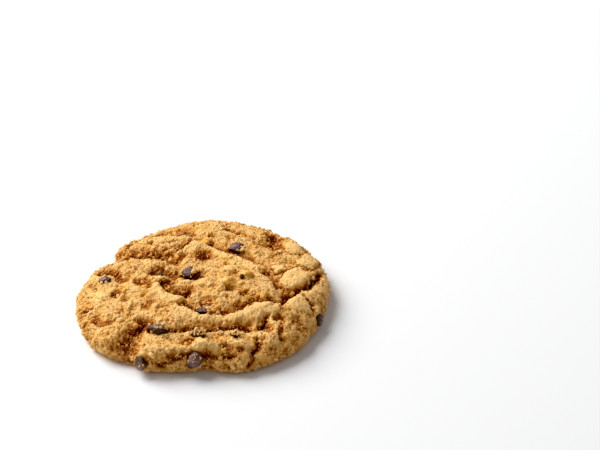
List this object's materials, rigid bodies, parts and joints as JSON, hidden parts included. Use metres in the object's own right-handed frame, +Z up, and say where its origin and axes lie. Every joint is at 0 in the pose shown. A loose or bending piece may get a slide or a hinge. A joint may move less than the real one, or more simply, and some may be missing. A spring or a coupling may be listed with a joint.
{
  "type": "chocolate chip cookie",
  "caption": "Round baked cookie with overlapping folds and cracks of crumbly golden dough, dark chocolate chips set in its top and rim, and a flat underside.",
  "frame": {"origin": "middle of the underside, under the centre of the outline's box", "axes": "+Z up out of the cookie's top, +Y to its far side and +X to the right of somebody who looks along +Y"},
  "size_m": [0.084, 0.0864, 0.0129],
  "materials": {
    "baked_dough": "matt, crumbly baked dough: golden tan, darker red-brown in folds and cracks",
    "chocolate": "satin dark chocolate with a faint bloom"
  },
  "bodies": {
    "root": {"dough": "baked_dough", "chip_01": "chocolate", "chip_02": "chocolate", "chip_03": "chocolate", "chip_04": "chocolate", "chip_05": "chocolate", "chip_06": "chocolate", "chip_07": "chocolate", "chip_08": "chocolate", "chip_09": "chocolate", "chip_10": "chocolate", "chip_11": "chocolate", "chip_12": "chocolate", "chip_13": "chocolate", "chip_14": "chocolate"}
  },
  "joints": []
}
